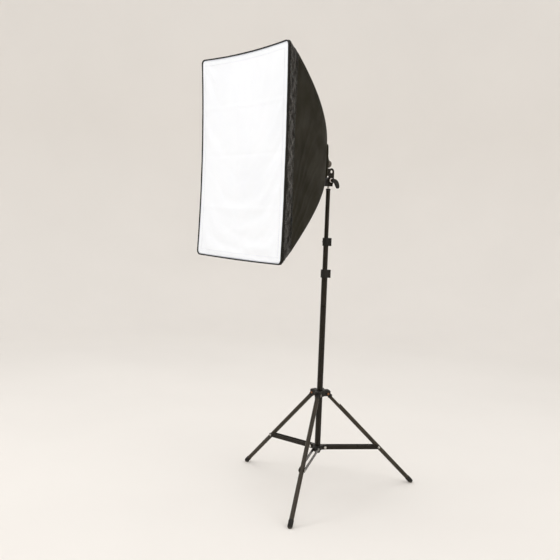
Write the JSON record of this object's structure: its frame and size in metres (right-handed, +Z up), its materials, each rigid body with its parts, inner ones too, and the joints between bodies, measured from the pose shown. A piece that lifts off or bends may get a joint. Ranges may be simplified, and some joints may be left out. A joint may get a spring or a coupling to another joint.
{
  "type": "studio softbox on a light stand",
  "caption": "Rectangular cloth softbox with a white front diffuser and a screw-in lamp, tilting on a three-section light stand with folding tripod legs.",
  "frame": {"origin": "on the floor, under the middle of the whole object's bounding box", "axes": "+Z up; the diffuser faces -Y; +X is to the right of a person who faces the diffuser"},
  "size_m": [0.6608, 0.7854, 1.602],
  "materials": {
    "black_tube": "satin black, faintly olive",
    "black_steel": "satin black paint",
    "black_plastic": "fine matte moulding",
    "black_rubber": "matte",
    "zinc": "bright zinc plate",
    "ring_alloy": "plain cast alloy",
    "brass": "dull copper-brass",
    "grey_plastic": "mid grey moulding",
    "white_plastic": "glazed white",
    "lamp_glass": "opal white coated tube",
    "stay_steel": "drawn spring steel",
    "black_nylon": "matte coated nylon outside, silver inside",
    "gloss_nylon": "crinkled, slightly shiny nylon",
    "white_cloth": "white translucent polyester"
  },
  "bodies": {
    "column": {"lower_tube": "black_tube", "brace_hub": "black_plastic", "hub_plug": "black_rubber", "lower_lock_collar": "black_plastic", "hub_pin_1": "zinc", "hub_pin_2": "zinc", "hub_pin_3": "zinc"},
    "leg_slider": {"leg_collar": "black_plastic", "leg_pin_1": "brass", "leg_pin_2": "brass", "leg_pin_3": "brass"},
    "leg_1": {"leg_tube_1": "black_tube", "leg_cap_1": "black_plastic", "leg_foot_1": "black_rubber"},
    "brace_1": {"brace_1_left": "black_steel", "brace_1_right": "black_steel"},
    "leg_2": {"leg_tube_2": "black_tube", "leg_cap_2": "black_plastic", "leg_foot_2": "black_rubber"},
    "brace_2": {"brace_2_left": "black_steel", "brace_2_right": "black_steel"},
    "leg_3": {"leg_tube_3": "black_tube", "leg_cap_3": "black_plastic", "leg_foot_3": "black_rubber"},
    "brace_3": {"brace_3_left": "black_steel", "brace_3_right": "black_steel"},
    "leg_lock": {"leg_lock_knob": "black_plastic"},
    "lower_lock": {"lower_lock_knob": "black_plastic"},
    "upper_lock": {"upper_lock_knob": "black_plastic"},
    "mid_section": {"mid_tube": "black_tube", "upper_lock_collar": "black_plastic"},
    "top_section": {"top_tube": "black_tube", "top_cap": "black_plastic", "stud": "zinc"},
    "bracket": {"stand_socket": "black_steel", "tilt_bolt": "zinc", "lever_bush": "brass"},
    "lever": {"tilt_lever": "black_plastic"},
    "head": {"tilt_arm": "black_steel", "lamp_housing": "grey_plastic", "rear_cap": "grey_plastic", "cord_gland": "black_rubber", "lamp_socket": "white_plastic", "speed_ring": "ring_alloy", "stay_rod_1": "stay_steel", "stay_rod_2": "stay_steel", "stay_rod_3": "stay_steel", "stay_rod_4": "stay_steel", "panel_top": "black_nylon", "panel_bottom": "black_nylon", "panel_left": "black_nylon", "panel_right": "black_nylon", "rear_cuff": "black_nylon", "front_band": "gloss_nylon", "front_hem": "black_nylon", "diffuser": "white_cloth"},
    "bulb": {"bulb_base": "brass", "bulb_ballast": "white_plastic", "bulb_spiral": "lamp_glass"},
    "switch": {"rocker_switch": "black_plastic"}
  },
  "joints": [
    {"name": "leg_fold", "type": "slide", "parent": "column", "child": "leg_slider", "axis": [0, 0, 1], "range_m": [0, 0.3231]},
    {"name": "leg_1_hinge", "type": "hinge", "parent": "leg_slider", "child": "leg_1", "pos_m": [0.08501, 0.04565, 0.3745], "axis": [-0.9232, 0.3843, 0], "range_deg": [0, 42.5]},
    {"name": "brace_1_hinge", "type": "hinge", "parent": "column", "child": "brace_1", "pos_m": [0.08366, 0.04242, 0.1635], "axis": [0.9232, -0.3843, 0], "range_deg": [0, 88.19]},
    {"name": "leg_2_hinge", "type": "hinge", "parent": "leg_slider", "child": "leg_2", "pos_m": [0.04166, 0.01252, 0.3745], "axis": [0.1288, -0.9917, 0], "range_deg": [0, 42.5]},
    {"name": "brace_2_hinge", "type": "hinge", "parent": "column", "child": "brace_2", "pos_m": [0.04513, 0.01297, 0.1635], "axis": [-0.1288, 0.9917, 0], "range_deg": [0, 88.19]},
    {"name": "leg_3_hinge", "type": "hinge", "parent": "leg_slider", "child": "leg_3", "pos_m": [0.09203, -0.00845, 0.3745], "axis": [0.7944, 0.6074, 0], "range_deg": [0, 42.5]},
    {"name": "brace_3_hinge", "type": "hinge", "parent": "column", "child": "brace_3", "pos_m": [0.08991, -0.00567, 0.1635], "axis": [-0.7944, -0.6074, 0], "range_deg": [0, 88.19]},
    {"name": "leg_lock_turn", "type": "hinge", "parent": "leg_slider", "child": "leg_lock", "pos_m": [0.05468, 0.04041, 0.378], "axis": [-0.6074, 0.7944, 0], "range_deg": [0, 360]},
    {"name": "lower_lock_turn", "type": "hinge", "parent": "column", "child": "lower_lock", "pos_m": [0.05307, 0.03179, 0.838], "axis": [-0.7934, 0.6088, 0], "range_deg": [0, 360]},
    {"name": "mid_slide", "type": "slide", "parent": "column", "child": "mid_section", "axis": [0, 0, 1], "range_m": [-0.088, 0.42]},
    {"name": "upper_lock_turn", "type": "hinge", "parent": "mid_section", "child": "upper_lock", "pos_m": [0.05307, 0.03179, 0.958], "axis": [-0.7934, 0.6088, 0], "range_deg": [0, 360]},
    {"name": "top_slide", "type": "slide", "parent": "mid_section", "child": "top_section", "axis": [0, 0, 1], "range_m": [-0.175, 0.34]},
    {"name": "pan", "type": "hinge", "parent": "top_section", "child": "bracket", "pos_m": [0.0729, 0.01657, 1.165], "axis": [0, 0, 1], "continuous": true},
    {"name": "tilt", "type": "hinge", "parent": "bracket", "child": "head", "pos_m": [0.0729, 0.02057, 1.187], "axis": [1, 0, 0], "range_deg": [-70, 45]},
    {"name": "lever_turn", "type": "hinge", "parent": "bracket", "child": "lever", "pos_m": [0.0929, 0.02057, 1.187], "axis": [1, 0, 0], "range_deg": [0, 110]},
    {"name": "bulb_turn", "type": "hinge", "parent": "head", "child": "bulb", "pos_m": [0.0729, -0.04943, 1.251], "axis": [0, -1, 0], "range_deg": [0, 360]},
    {"name": "switch_rock", "type": "hinge", "parent": "head", "child": "switch", "pos_m": [0.0679, 0.00357, 1.216], "axis": [0, 1, 0], "range_deg": [-12, 0]}
  ],
  "couplings": [
    {"joint": "leg_1_hinge", "follows": "leg_fold", "rad_per_m": 2.2904},
    {"joint": "brace_1_hinge", "follows": "leg_fold", "rad_per_m": 4.7585},
    {"joint": "leg_2_hinge", "follows": "leg_fold", "rad_per_m": 2.2904},
    {"joint": "brace_2_hinge", "follows": "leg_fold", "rad_per_m": 4.7585},
    {"joint": "leg_3_hinge", "follows": "leg_fold", "rad_per_m": 2.2904},
    {"joint": "brace_3_hinge", "follows": "leg_fold", "rad_per_m": 4.7585}
  ]
}
